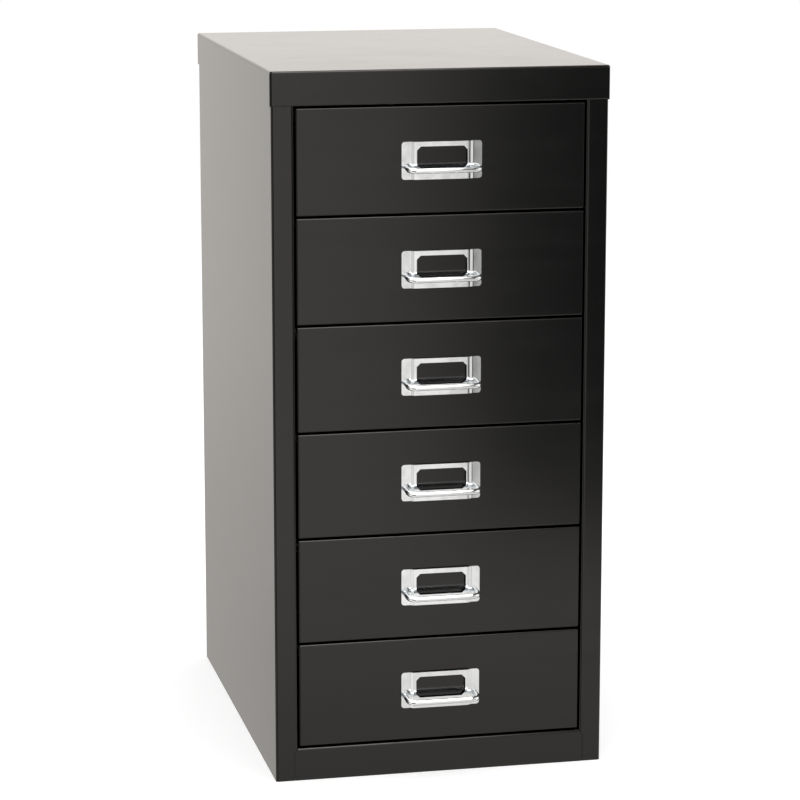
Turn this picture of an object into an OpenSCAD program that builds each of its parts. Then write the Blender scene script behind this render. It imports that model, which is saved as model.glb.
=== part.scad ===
// Free-standing desk-side cabinet of folded sheet steel, with a stack of equal drawers.
// Each drawer hangs by its top flanges in two channel runners and carries a card frame
// and a bow pull. Millimetres. The origin is the middle of the underside, +X is the
// right-hand side seen from the front, +Y is the back and +Z is up. Drawers open along -Y.

/* [Cabinet] */
// Width over the side panels
body_w = 279; // [230:1:340]
// Depth over the side panels
body_d = 380; // [310:1:460]
// Height from the floor to the top of the cap
body_h = 590; // [480:1:710]
// Thickness of the cabinet's sheet
sheet = 1; // [0.8:0.1:1.2]
// Inside radius of the cabinet's bends
bend_r = 1; // [0.8:0.1:1.2]
// Width of the flanges that join the panels
flange_w = 14; // [10:1:16]
// Open seam where two sheets butt
seam = 0.25; // [0.1:0.05:0.4]
// Depth of the cap's lip all round
cap_h = 28; // [20:1:40]

/* [Front frame] */
// Width of each front post
post_w = 18.5; // [16:0.5:24]
// Depth of a post's inner return
post_return = 20; // [12:1:24]
// Height of the bottom rail
rail_h = 27.8; // [22:0.1:40]
// Depth of the shelf on the rails
rail_shelf = 18; // [10:1:20]
// Hem turned down behind the bottom rail's shelf
rail_hem = 9; // [5:0.5:10]
// How far the bottom rail reaches under each post
rail_tongue = 3; // [2:0.5:5]
// Drop from the bottom rail's shelf to the post's notch
rail_step = 0.8; // [0.4:0.1:1.5]
// Height of the base pan's turned-up edges
pan_edge = 15; // [10:1:18]

/* [Drawers] */
// Number of drawers
drawer_count = 6; // [4:1:7]
// Gap above, below and between the drawer fronts
front_gap = 1.8; // [1:0.1:3]
// Gap between a drawer front and each post
front_side_gap = 1.5; // [1:0.1:3]
// Depth of the boxed drawer front
front_depth = 14; // [8:0.5:18]
// Flange turned in behind the drawer front
front_flange = 10; // [7:0.5:12]
// Thickness of the drawers' sheet
drawer_sheet = 0.8; // [0.6:0.1:1]
// Inside radius of the drawers' bends
drawer_bend_r = 0.5; // [0.4:0.1:0.8]
// Underside of the tray above the front's lower edge
tray_lift = 4; // [2:0.5:8]
// Top of the tray's flanges below the front's upper edge
tray_drop = 7; // [5:0.5:14]
// Width of the tray's side flanges
tray_flange = 6.4; // [5:0.1:8]
// Hem on the tray's rear wall
tray_hem = 6; // [4:0.5:9]
// Space between the tray and the back panel
tray_rear_gap = 13; // [12.5:0.5:20]
// Length of flange still held at full travel
held_length = 53; // [40:1:90]

/* [Runners] */
// Thickness of the runners' sheet
runner_sheet = 1; // [0.8:0.1:1.2]
// Space between the posts' returns and the runners' front ends
runner_gap = 2; // [1:0.5:4]
// Inside radius of the runners' bends
runner_bend_r = 0.4; // [0.3:0.1:0.6]
// Clearance under a drawer flange
flange_rest = 0.3; // [0.2:0.05:0.5]
// Clearance over a drawer flange
flange_lift = 1.3; // [1:0.1:2]
// Clearance beside a drawer flange
flange_side = 1; // [0.5:0.1:1.5]
// Clearance between the flange's edge and the post
flange_post_gap = 1.8; // [1.5:0.1:3]
// Clearance at the runners' end stops
stop_gap = 0.3; // [0.2:0.05:0.5]
// Drop of the runner's front stop
stop_drop = 6; // [4:0.5:8]
// Length of the stop lug on the tray
lug_len = 8; // [5:0.5:12]
// Clearance between the lug and the runner above it
lug_gap = 0.5; // [0.3:0.1:1]
// Clearance between a runner's lips and the tray's side
lip_gap = 1.1; // [0.8:0.1:1.5]
// Width of the uprights behind the runners
upright_w = 20; // [14:1:26]
// Foot flange on each side of an upright
upright_foot = 8; // [6:0.5:10]
// Distance from the rear uprights to the runners' rear ends
upright_inset = 5; // [2:1:20]

/* [Card frame] */
// Height of the card frame
frame_h = 30.6; // [28:0.1:36]
// Thickness of the card frame's sheet
frame_sheet = 0.9; // [0.7:0.1:1.1]
// Corner radius of the card frame
frame_r = 2.5; // [1:0.1:4]
// How far the card frame sits below the middle of the drawer front
frame_drop = 0.6; // [0:0.1:4]
// Width of the raised pocket
pocket_w = 46; // [36:0.5:60]
// Height of the pocket above the drawer front
pocket_raise = 2; // [1:0.1:3]
// Width of each sloping side of the pocket
pocket_slope = 2.5; // [2:0.1:3]
// Width of each flat wing beside the pocket
wing_w = 7.75; // [6.25:0.25:12]
// Frame left on each side of the card window
window_side = 2; // [1.5:0.1:4]
// Height of the card window
window_h = 18; // [12:0.5:19]
// Frame left above the card window
window_top = 3.8; // [3:0.1:5]
// Chamfer on the window's corners
window_chamfer = 3.2; // [1:0.1:5]

/* [Pull] */
// How far each arm of the pull sits outside the middle of its wing
arm_shift = 0.2; // [-0.5:0.1:0.5]
// Thickness of the pull's rod
pull_d = 4.4; // [3.6:0.1:5]
// Reach of the bar from the card frame to its middle
pull_reach = 15; // [12:0.5:25]
// Bend radius of the pull's corners
pull_bend = 6; // [4:0.5:9]
// Height of the pull above the card frame's lower edge
pull_up = 9.1; // [6:0.1:14]
// Diameter of the pull's threaded ends
stud_d = 3; // [2.5:0.5:3]
// Clearance round the threaded ends in the sheets
stud_clearance = 0.15; // [0.1:0.05:0.3]
// Clearance of the nuts round the threaded ends
nut_clearance = 0.1; // [0.05:0.05:0.15]
// Thickness of the nuts
nut_h = 2.4; // [1.6:0.1:3]
// Width of the nuts across their flats
nut_flats = 5.5; // [5:0.5:7]
// Length of thread past the nuts
stud_end = 1; // [0.5:0.1:2]
// Diameter of the holes that reach the nuts
access_d = 10; // [9:0.5:14]

/* [Hidden] */
PIECES = ["tray", "front", "card_frame", "pull", "pull_nuts"];
SIDES = ["left", "right"];
$fn = 64;

paint = "#232324";
inner_paint = "#3a3b3d";
chrome = "#cfd3d6";
zinc = "#a9adb0";

past = 1;                                   // how far a cut runs past its sheet
lap = 1;                                    // how far the drawn shapes of one sheet run into each other
body_half = body_w / 2;
front_y = -body_d / 2;
back_y = body_d / 2;
under_cap = body_h - sheet;                 // underside of the cap's top
fold = sheet + bend_r;                      // outer radius of the cabinet's bends
corner_gap = 1;                             // open corner between two flanges of a panel
corner_relief = fold + 2 * corner_gap;      // height of the open corners under the cap
bend_gap = 0.1;                             // keeps a flat edge out of a bend's inside
opening_half = body_half - post_w;
opening_top = body_h - cap_h;
notch_top = rail_h - rail_step;             // where the post's notch ends at the opening
pan_back_y = back_y - 2 * sheet;            // inner face of the back panel

front_h = (opening_top - rail_h - (drawer_count + 1) * front_gap) / drawer_count;
front_w = 2 * (opening_half - front_side_gap);
pitch = front_h + front_gap;

drawer_fold = drawer_sheet + drawer_bend_r; // outer radius of the drawers' bends
tray_y = front_y + front_depth;             // front of the tray, on the boxed front
tray_end = pan_back_y - tray_rear_gap;      // rear of the tray
tray_len = tray_end - tray_y;
flange_half = opening_half - flange_post_gap;
tray_half = flange_half - tray_flange;
flange_top = front_h - tray_drop;
flange_stub = 2;                            // straight run of wall under a flange's bend
tray_wall = flange_top - tray_lift - drawer_fold - flange_stub; // height of the tray's walls

runner_out = flange_half + flange_side + runner_sheet; // face welded to the uprights
runner_tip = tray_half + lip_gap;           // inner edge of the runner's lips
runner_fold = runner_sheet + runner_bend_r;
runner_z = flange_top - drawer_sheet - flange_rest - runner_sheet;
runner_h = 2 * runner_sheet + flange_rest + drawer_sheet + flange_lift;
runner_y = front_y + post_return + runner_gap; // front end of the runners
flange_end = tray_end - drawer_fold;        // rear end of the tray's flanges
runner_end = flange_end + stop_gap + runner_sheet;
travel = flange_end - runner_y - held_length;
lug_y = runner_y + runner_sheet + stop_gap + travel;
lug_w = tray_flange - lug_gap;

upright_z = pan_edge;
upright_top = under_cap - fold;
front_upright_y = runner_y;
rear_upright_y = runner_end - upright_w - upright_inset;

frame_z = front_h / 2 - frame_drop - frame_h / 2;      // lower edge of the card frame
pocket_half = pocket_w / 2;
wing_x = pocket_half + pocket_slope;                   // where the flat wings begin
frame_w = 2 * (wing_x + wing_w);
window_w = pocket_w - 2 * window_side;
slope_angle = atan(pocket_raise / pocket_slope);
bend_shift = frame_sheet * tan(slope_angle / 2);       // keeps the slope as thick as the sheet
pull_z = frame_z + pull_up;
pull_x = wing_x + wing_w / 2 + arm_shift;
stud_len = frame_sheet + drawer_sheet + nut_h + stud_end;
stud_hole_d = stud_d + 2 * stud_clearance;

// Length of a leg between its bends, from its outer size
function flat(outer, bends, t, r) = outer - bends * (t + r);

// Quarter ring with its centre at the origin, in the quadrant +X, +Y
module quarter_ring(t, r) {
    intersection() {
        difference() {
            circle(r + t);
            circle(r);
        }
        square(r + t);
    }
}

// Section of a folded sheet. The legs run on from +X, with the sheet on their left;
// a turn of 1 bends to the left and a turn of -1 to the right.
module folded(legs, turns, t, r, i = 0) {
    square([legs[i], t]);
    if (i < len(turns)) {
        translate([legs[i], turns[i] > 0 ? t + r : -r])
            mirror([0, turns[i] > 0 ? 1 : 0])
                quarter_ring(t, r);
        translate(turns[i] > 0 ? [legs[i] + t + r, t + r] : [legs[i] + r, -r])
            rotate(90 * turns[i])
                folded(legs, turns, t, r, i + 1);
    }
}

// Rectangle with round corners
module round_rect(w, d, r) {
    square([w - 2 * r, d], center = true);
    square([w, d - 2 * r], center = true);
    for (x = [-1, 1], y = [-1, 1]) {
        translate([x * (w / 2 - r), y * (d / 2 - r)]) circle(r);
    }
}

// Rectangle that stands on the X axis, with its two lower corners round
module round_foot(w, h, r) {
    translate([-w / 2, r]) square([w, h - r]);
    translate([r - w / 2, 0]) square([w - 2 * r, 2 * r]);
    for (x = [-1, 1]) {
        translate([x * (w / 2 - r), r]) circle(r);
    }
}

// A section drawn in X and Z, drawn out along Y from y0 to y1
module along_y(y0, y1) {
    translate([0, y1, 0]) rotate([90, 0, 0]) linear_extrude(y1 - y0) children();
}

// A section drawn in Y and Z, drawn out along X from -half to half
module along_x(half) {
    rotate([90, 0, 90]) linear_extrude(2 * half, center = true) children();
}

// Block with round vertical edges and round lower edges
module soft_block(w, d, h, r) {
    intersection() {
        linear_extrude(h) round_rect(w, d, r);
        along_y(-d / 2, d / 2) round_foot(w, h, r);
        along_x(w / 2) round_foot(d, h, r);
    }
}

// Open tray pressed from one sheet
module pressed_tray(w, d, h, t, r) {
    difference() {
        soft_block(w, d, h, r + t);
        translate([0, 0, t]) soft_block(w - 2 * t, d - 2 * t, h, r);
    }
}

// The right-hand piece as it is, or its mirror image for the left-hand side
module on_side(side) {
    mirror([side == "left" ? 1 : 0, 0, 0]) children();
}

// Drawer number n, counted from the top, in its place
module at_drawer(n) {
    translate([0, 0, rail_h + front_gap + (drawer_count - n) * pitch]) children();
}

module top_cap() {
    color(paint)
        translate([0, 0, body_h]) mirror([0, 0, 1])
            pressed_tray(body_w + 2 * sheet, body_d + 2 * sheet, cap_h, sheet, bend_r);
}

// Outline, in X and Z, of what is cut from the foot of the right post for the bottom rail
module post_notch() {
    polygon([
        [opening_half - past, -past],
        [opening_half + rail_tongue, -past],
        [opening_half + rail_tongue, notch_top - rail_tongue],
        [opening_half, notch_top],
        [opening_half - past, notch_top]
    ]);
}

module side_panel() {
    color(paint)
        difference() {
            union() {
                translate([opening_half, front_y + post_return, 0]) rotate(-90)
                    linear_extrude(under_cap - corner_relief)
                        folded([
                            flat(post_return, 1, sheet, bend_r),
                            flat(post_w, 2, sheet, bend_r),
                            flat(body_d, 2, sheet, bend_r),
                            flat(flange_w, 1, sheet, bend_r)
                        ], [1, 1, 1], sheet, bend_r);
                along_y(front_y + fold + corner_gap, back_y - fold - corner_gap)
                    translate([body_half, under_cap - corner_relief - lap]) rotate(90)
                        folded([
                            lap + flat(corner_relief, 1, sheet, bend_r),
                            flat(flange_w, 1, sheet, bend_r)
                        ], [1], sheet, bend_r);
            }
            along_y(front_y - past, front_y + post_return + past) post_notch();
        }
}

module back_panel() {
    flange_reach = body_half - flange_w - seam;
    color(paint) {
        translate([0, back_y - 1.5 * sheet, (under_cap - corner_relief) / 2])
            cube([2 * (body_half - fold - bend_gap), sheet, under_cap - corner_relief], center = true);
        along_x(flange_reach)
            translate([back_y - sheet, under_cap - corner_relief - lap]) rotate(90)
                folded([
                    lap + flat(corner_relief, 1, sheet, bend_r),
                    flat(flange_w, 1, sheet, bend_r)
                ], [1], sheet, bend_r);
    }
}

module base_pan() {
    pan_y = front_y + sheet;
    color(inner_paint)
        translate([0, (pan_y + pan_back_y) / 2, 0])
            pressed_tray(body_w - 2 * sheet, pan_back_y - pan_y, pan_edge, sheet, bend_r);
}

module base_rail() {
    tip = opening_half + rail_tongue - seam;
    shoulder = opening_half - seam;
    color(paint)
        intersection() {
            along_x(tip)
                translate([front_y + rail_shelf, rail_h - rail_hem]) rotate(90)
                    folded([
                        flat(rail_hem, 1, sheet, bend_r),
                        flat(rail_shelf, 2, sheet, bend_r),
                        flat(rail_h, 1, sheet, bend_r)
                    ], [1, 1], sheet, bend_r);
            along_y(front_y, front_y + rail_shelf)
                polygon([
                    [-tip, 0],
                    [tip, 0],
                    [tip, notch_top - rail_tongue],
                    [shoulder, notch_top],
                    [shoulder, rail_h],
                    [-shoulder, rail_h],
                    [-shoulder, notch_top],
                    [-tip, notch_top - rail_tongue]
                ]);
        }
}

module header_rail() {
    color(inner_paint)
        along_x(opening_half - seam)
            translate([front_y + flange_w, under_cap]) rotate(180)
                folded([
                    flat(flange_w, 1, sheet, bend_r),
                    flat(under_cap - opening_top, 2, sheet, bend_r),
                    flat(rail_shelf, 1, sheet, bend_r)
                ], [1, 1], sheet, bend_r);
}

// Hat-section upright on the inside of the right side panel, with its crown from y on
module upright(y) {
    reach = body_half - sheet - runner_out;
    color(inner_paint)
        translate([body_half - sheet, y - upright_foot + sheet, upright_z]) rotate(90)
            linear_extrude(upright_top - upright_z)
                folded([
                    flat(upright_foot, 1, sheet, bend_r),
                    flat(reach, 2, sheet, bend_r),
                    flat(upright_w, 2, sheet, bend_r),
                    flat(reach, 2, sheet, bend_r),
                    flat(upright_foot, 1, sheet, bend_r)
                ], [1, -1, -1, 1], sheet, bend_r);
}

// Channel runner on the right side, open towards the drawer, with its two end stops
module runner() {
    lip = runner_out - runner_tip;
    color(zinc) {
        along_y(runner_y, runner_end)
            translate([runner_tip, runner_z])
                folded([
                    flat(lip, 1, runner_sheet, runner_bend_r),
                    flat(runner_h, 2, runner_sheet, runner_bend_r),
                    flat(lip, 1, runner_sheet, runner_bend_r)
                ], [1, 1], runner_sheet, runner_bend_r);
        translate([runner_tip, runner_end - runner_sheet, runner_z + runner_sheet / 2])
            cube([lip - runner_sheet / 2, runner_sheet, runner_h - runner_sheet]);
        translate([runner_tip, runner_y, runner_z - stop_drop])
            cube([lip - runner_fold, runner_sheet, stop_drop + runner_sheet / 2]);
    }
}

// Top of a tray side in X and Z: the last of the wall, the bend and the flange
module tray_flange_section() {
    translate([tray_half, tray_lift + tray_wall - lap]) rotate(90)
        folded([lap + flange_stub, tray_flange - drawer_bend_r], [-1], drawer_sheet, drawer_bend_r);
}

module drawer_tray() {
    middle_y = (tray_y + tray_end) / 2;
    hem_half = tray_half - drawer_fold;
    color(paint)
        difference() {
            union() {
                translate([0, middle_y, tray_lift])
                    pressed_tray(2 * tray_half, tray_len, tray_wall, drawer_sheet, drawer_bend_r);
                for (side = SIDES) {
                    on_side(side) {
                        along_y(tray_y + drawer_fold, flange_end) tray_flange_section();
                        translate([tray_half - drawer_sheet / 2, lug_y, runner_z - lug_gap - stop_drop])
                            cube([lug_w + drawer_sheet / 2, lug_len, stop_drop]);
                    }
                }
                translate([-hem_half, tray_end - 2 * drawer_sheet, tray_lift + tray_wall - tray_hem])
                    cube([2 * hem_half, 1.5 * drawer_sheet, tray_hem]);
            }
            for (x = [-pull_x, pull_x]) {
                translate([x, tray_y - past, pull_z]) rotate([-90, 0, 0])
                    cylinder(h = drawer_sheet + 2 * past, d = access_d);
            }
        }
}

// Flange ring behind the boxed drawer front, in X and Z
module front_ring() {
    difference() {
        square([front_w - drawer_sheet, front_h - drawer_sheet], center = true);
        square([front_w - 2 * front_flange, front_h - 2 * front_flange], center = true);
    }
}

module drawer_front() {
    ring_y = front_y + front_depth - drawer_sheet;
    color(paint)
        difference() {
            union() {
                translate([0, front_y, front_h / 2]) rotate([-90, 0, 0])
                    pressed_tray(front_w, front_h, front_depth, drawer_sheet, drawer_bend_r);
                along_y(ring_y, front_y + front_depth)
                    translate([0, front_h / 2]) front_ring();
            }
            for (x = [-pull_x, pull_x]) {
                translate([x, front_y - past, pull_z]) rotate([-90, 0, 0])
                    cylinder(h = drawer_sheet + 2 * past, d = stud_hole_d);
            }
        }
}

// Half of the card frame's section in plan, from its middle to its right edge.
// The drawer front lies at y = 0 and the frame stands out along -Y.
module frame_section_half() {
    half = frame_w / 2;
    polygon([
        [0, -pocket_raise],
        [pocket_half - bend_shift, -pocket_raise],
        [wing_x - bend_shift, 0],
        [half, 0],
        [half, -frame_sheet],
        [wing_x, -frame_sheet],
        [pocket_half, -frame_sheet - pocket_raise],
        [0, -frame_sheet - pocket_raise]
    ]);
}

// Window in X and Z with its middle at the origin
module window_outline() {
    intersection() {
        square([window_w, window_h], center = true);
        rotate(45)
            square((window_w + window_h - 2 * window_chamfer) / sqrt(2), center = true);
    }
}

module card_frame() {
    depth = frame_sheet + pocket_raise;
    foot_half = pocket_half - bend_shift;
    color(chrome)
        translate([0, front_y, frame_z])
            difference() {
                intersection() {
                    union() {
                        linear_extrude(frame_h) {
                            frame_section_half();
                            mirror([1, 0]) frame_section_half();
                        }
                        translate([-foot_half, -depth + frame_sheet / 2, 0])
                            cube([2 * foot_half, depth - frame_sheet / 2, frame_sheet]);
                    }
                    along_y(-depth, 0)
                        translate([0, frame_h / 2]) round_rect(frame_w, frame_h, frame_r);
                }
                along_y(-depth - past, past)
                    translate([0, frame_h - window_top - window_h / 2]) window_outline();
                for (x = [-pull_x, pull_x]) {
                    translate([x, past, pull_up]) rotate([90, 0, 0])
                        cylinder(h = depth + 2 * past, d = stud_hole_d);
                }
            }
}

// Right half of the pull. The face of the card frame's wing lies at y = 0.
module pull_half() {
    translate([pull_x, 0, 0]) rotate([90, 0, 0]) cylinder(h = pull_reach - pull_bend, d = pull_d);
    translate([pull_x, 0, 0]) rotate([-90, 0, 0]) cylinder(h = stud_len, d = stud_d);
    translate([pull_x - pull_bend, pull_bend - pull_reach, 0]) rotate(-90)
        rotate_extrude(angle = 90) translate([pull_bend, 0]) circle(d = pull_d);
    translate([0, -pull_reach, 0]) rotate([0, 90, 0]) cylinder(h = pull_x - pull_bend, d = pull_d);
}

module pull() {
    color(chrome)
        translate([0, front_y - frame_sheet, pull_z]) {
            pull_half();
            mirror([1, 0, 0]) pull_half();
        }
}

module pull_nuts() {
    color(zinc)
        for (x = [-pull_x, pull_x]) {
            translate([x, front_y + drawer_sheet, pull_z]) rotate([-90, 0, 0])
                difference() {
                    cylinder(h = nut_h, d = nut_flats / cos(30), $fn = 6);
                    translate([0, 0, -past])
                        cylinder(h = nut_h + 2 * past, d = stud_d + 2 * nut_clearance);
                }
        }
}

top_cap();
on_side("left") side_panel();  // left_side_panel
on_side("right") side_panel();  // right_side_panel
back_panel();
base_pan();
base_rail();
header_rail();
for (s = SIDES) {
    on_side(s) upright(front_upright_y);
    on_side(s) upright(rear_upright_y);
}
for (n = [1 : drawer_count]) {
    for (s = SIDES) {
        at_drawer(n) on_side(s) runner();
    }
    at_drawer(n) drawer_tray();
    at_drawer(n) drawer_front();
    at_drawer(n) card_frame();
    at_drawer(n) pull();
    at_drawer(n) pull_nuts();
}
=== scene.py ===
"""Looks of a desk-side cabinet of black enamelled sheet steel with six equal drawers.

Each sub-assembly is a class that holds its sizes in millimetres, shapes its sheets and rods
with bmesh operators and dresses them in a finish. The outer corners of every piece come from
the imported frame, so a piece lies exactly where the construction puts it.
"""

from __future__ import annotations

import logging
import math
from dataclasses import dataclass
from enum import Enum
from typing import Callable, Sequence

import bmesh
import bpy
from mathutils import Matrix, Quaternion, Vector

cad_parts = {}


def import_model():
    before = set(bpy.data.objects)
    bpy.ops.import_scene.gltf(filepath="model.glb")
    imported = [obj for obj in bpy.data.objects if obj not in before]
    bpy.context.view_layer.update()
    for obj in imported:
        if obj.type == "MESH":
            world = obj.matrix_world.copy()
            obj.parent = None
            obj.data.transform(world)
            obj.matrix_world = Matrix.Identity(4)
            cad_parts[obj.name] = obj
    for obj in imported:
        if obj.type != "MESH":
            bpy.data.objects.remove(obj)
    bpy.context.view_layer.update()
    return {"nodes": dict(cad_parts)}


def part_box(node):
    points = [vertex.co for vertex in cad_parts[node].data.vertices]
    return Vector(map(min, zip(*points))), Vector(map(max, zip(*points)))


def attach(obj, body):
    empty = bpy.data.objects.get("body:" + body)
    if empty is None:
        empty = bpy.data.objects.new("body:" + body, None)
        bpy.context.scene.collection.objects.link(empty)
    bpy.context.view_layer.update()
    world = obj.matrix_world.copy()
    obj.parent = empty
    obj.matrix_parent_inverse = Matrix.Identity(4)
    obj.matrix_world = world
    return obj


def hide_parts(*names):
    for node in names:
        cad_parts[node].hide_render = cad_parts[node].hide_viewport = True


LOG = logging.getLogger("drawer_cabinet")
MM = 0.001
DRAWERS = range(1, 7)
ALONG = 0.9  # share of a unit direction that lies along the axis it is said to follow
MERGE = 1e-4  # vertices nearer than this, in millimetres, are one
ON = 0.01  # how near a plane a fold or edge lies to count as on it, in millimetres
WHITE = (1.0, 1.0, 1.0, 1.0)
Point = tuple[float, float, float]
Test = Callable[[Vector, Vector], bool]
Edges = list[bmesh.types.BMEdge]


class Slot(Enum):
    """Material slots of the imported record."""

    OUTER = "outer_paint"
    DRAWER = "drawer_paint"
    INNER = "inner_paint"
    CHROME = "chrome"
    ZINC = "zinc"


class Side(Enum):
    """Sides of the cabinet as seen from the front, with the sign of their X."""

    LEFT = -1
    RIGHT = 1

    @property
    def word(self) -> str:
        """Name of the side as the nodes spell it."""
        return self.name.lower()


def node_box(node: str) -> tuple[Vector, Vector]:
    """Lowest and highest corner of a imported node.

    Args:
        node: name of the node.

    Returns:
        The two corners in millimetres.
    """
    low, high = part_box(node)
    return low / MM, high / MM


# ---------------------------------------------------------------- shaping


class Work:
    """One piece of sheet or rod while it is shaped, in millimetres."""

    RIM_SEGMENTS = 2
    RIM_ANGLE = math.radians(50)

    def __init__(self) -> None:
        """Starts an empty piece."""
        self.bm: bmesh.types.BMesh = bmesh.new()

    def block(self, low: Vector, high: Vector) -> None:
        """Adds a closed box.

        Args:
            low: lowest corner.
            high: highest corner.
        """
        verts = bmesh.ops.create_cube(self.bm, size=1.0)["verts"]
        bmesh.ops.scale(self.bm, vec=high - low, verts=verts)
        bmesh.ops.translate(self.bm, vec=(low + high) / 2, verts=verts)

    def outline(self, points: Sequence[Point]) -> Edges:
        """Adds the folded outline that a sheet is drawn out from.

        Args:
            points: the outline's corners in order.

        Returns:
            The edges between them.
        """
        verts = [self.bm.verts.new(point) for point in points]
        return [self.bm.edges.new(pair) for pair in zip(verts, verts[1:])]

    def draw_out(self, edges: Edges, by: Vector) -> Edges:
        """Draws edges out into sheet.

        Args:
            edges: the edges to draw out.
            by: how far and which way.

        Returns:
            The edges at the far end.
        """
        made = bmesh.ops.extrude_edge_only(self.bm, edges=edges)["geom"]
        verts = {item for item in made if isinstance(item, bmesh.types.BMVert)}
        bmesh.ops.translate(self.bm, vec=by, verts=list(verts))
        return [edge for edge in self.bm.edges if verts.issuperset(edge.verts)]

    def edges(self, test: Test) -> Edges:
        """Finds edges.

        Args:
            test: takes an edge's middle and its direction.

        Returns:
            The edges that pass.
        """
        found = []
        for edge in self.bm.edges:
            start, end = (vert.co for vert in edge.verts)
            if test((start + end) / 2, (end - start).normalized()):
                found.append(edge)
        return found

    def faces(self, test: Test) -> list[bmesh.types.BMFace]:
        """Finds faces.

        Args:
            test: takes a face's middle and its normal.

        Returns:
            The faces that pass.
        """
        self.bm.normal_update()
        return [face for face in self.bm.faces if test(face.calc_center_median(), face.normal)]

    def remove(self, faces: list[bmesh.types.BMFace]) -> None:
        """Takes faces out, with the edges and vertices that only they used."""
        bmesh.ops.delete(self.bm, geom=faces, context="FACES")

    def bend(self, edges: Edges, radius: float, segments: int = 8) -> None:
        """Rounds folds.

        Args:
            edges: the fold lines.
            radius: outer radius of the bend.
            segments: facets round the bend.
        """
        bmesh.ops.bevel(
            self.bm, geom=edges, offset=radius, offset_type="OFFSET", segments=segments,
            profile=0.5, affect="EDGES", clamp_overlap=False, material=-1,
        )

    def cut(self, point: Point, across: Point, test: Test | None = None) -> None:
        """Scores a straight line across faces.

        Args:
            point: a point on the cutting plane.
            across: the plane's normal.
            test: picks the faces to cut, or all of them when left out.
        """
        faces = self.faces(test or (lambda middle, out: True))
        geom: list[object] = list(faces)
        geom += {edge for face in faces for edge in face.edges}
        geom += {vert for face in faces for vert in face.verts}
        bmesh.ops.bisect_plane(self.bm, geom=geom, dist=MERGE, plane_co=point, plane_no=across)

    def finish(
        self, name: str, outward: Vector, wall: float = 0.0, rim: float = 0.12
    ) -> bpy.types.Object:
        """Turns the work into a finished object in metres.

        Args:
            name: name of the object.
            outward: where the largest face must look.
            wall: thickness of the sheet behind the drawn face, or 0 for a closed piece.
            rim: rounding of the sheet's cut edges, or 0 for none.

        Returns:
            The object, at the origin.
        """
        bmesh.ops.remove_doubles(self.bm, verts=self.bm.verts[:], dist=MERGE)
        bmesh.ops.recalc_face_normals(self.bm, faces=self.bm.faces[:])
        largest = max(self.bm.faces, key=lambda face: face.calc_area())
        if largest.normal.dot(outward) < 0:
            bmesh.ops.reverse_faces(self.bm, faces=self.bm.faces[:])
        bmesh.ops.scale(self.bm, vec=Vector((MM, MM, MM)), verts=self.bm.verts[:])
        for face in self.bm.faces:
            face.smooth = True
        mesh = bpy.data.meshes.new(name)
        self.bm.to_mesh(mesh)
        self.bm.free()
        piece = bpy.data.objects.new(name, mesh)
        bpy.context.scene.collection.objects.link(piece)
        if wall:
            solid = piece.modifiers.new("sheet", "SOLIDIFY")
            solid.thickness = wall * MM
            solid.offset = -1.0
            solid.use_even_offset = True
            solid.use_quality_normals = True
        if rim:
            soft = piece.modifiers.new("cut edges", "BEVEL")
            soft.width = rim * MM
            soft.segments = self.RIM_SEGMENTS
            soft.limit_method = "ANGLE"
            soft.angle_limit = self.RIM_ANGLE
        piece.modifiers.new("flat sides", "WEIGHTED_NORMAL").keep_sharp = True
        return piece


def place(
    piece: bpy.types.Object, body: str, slot: Slot, finish: bpy.types.Material, *nodes: str
) -> None:
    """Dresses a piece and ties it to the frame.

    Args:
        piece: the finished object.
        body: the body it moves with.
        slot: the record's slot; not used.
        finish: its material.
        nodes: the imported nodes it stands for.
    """
    piece.data.materials.append(finish)
    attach(piece, body)
    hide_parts(*nodes)
    count = len(piece.data.polygons)
    LOG.info("%s: %d faces, rides on %s, stands for %s", piece.name, count, body, ", ".join(nodes))


def dress(node: bpy.types.Object, finish: bpy.types.Material) -> None:
    """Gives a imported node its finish.

    Args:
        node: the node's object.
        finish: its material.
    """
    for spot in node.material_slots:
        spot.material = finish
    LOG.info("%s: dressed in %s", node.name, finish.name)


# ---------------------------------------------------------------- finishes


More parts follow.
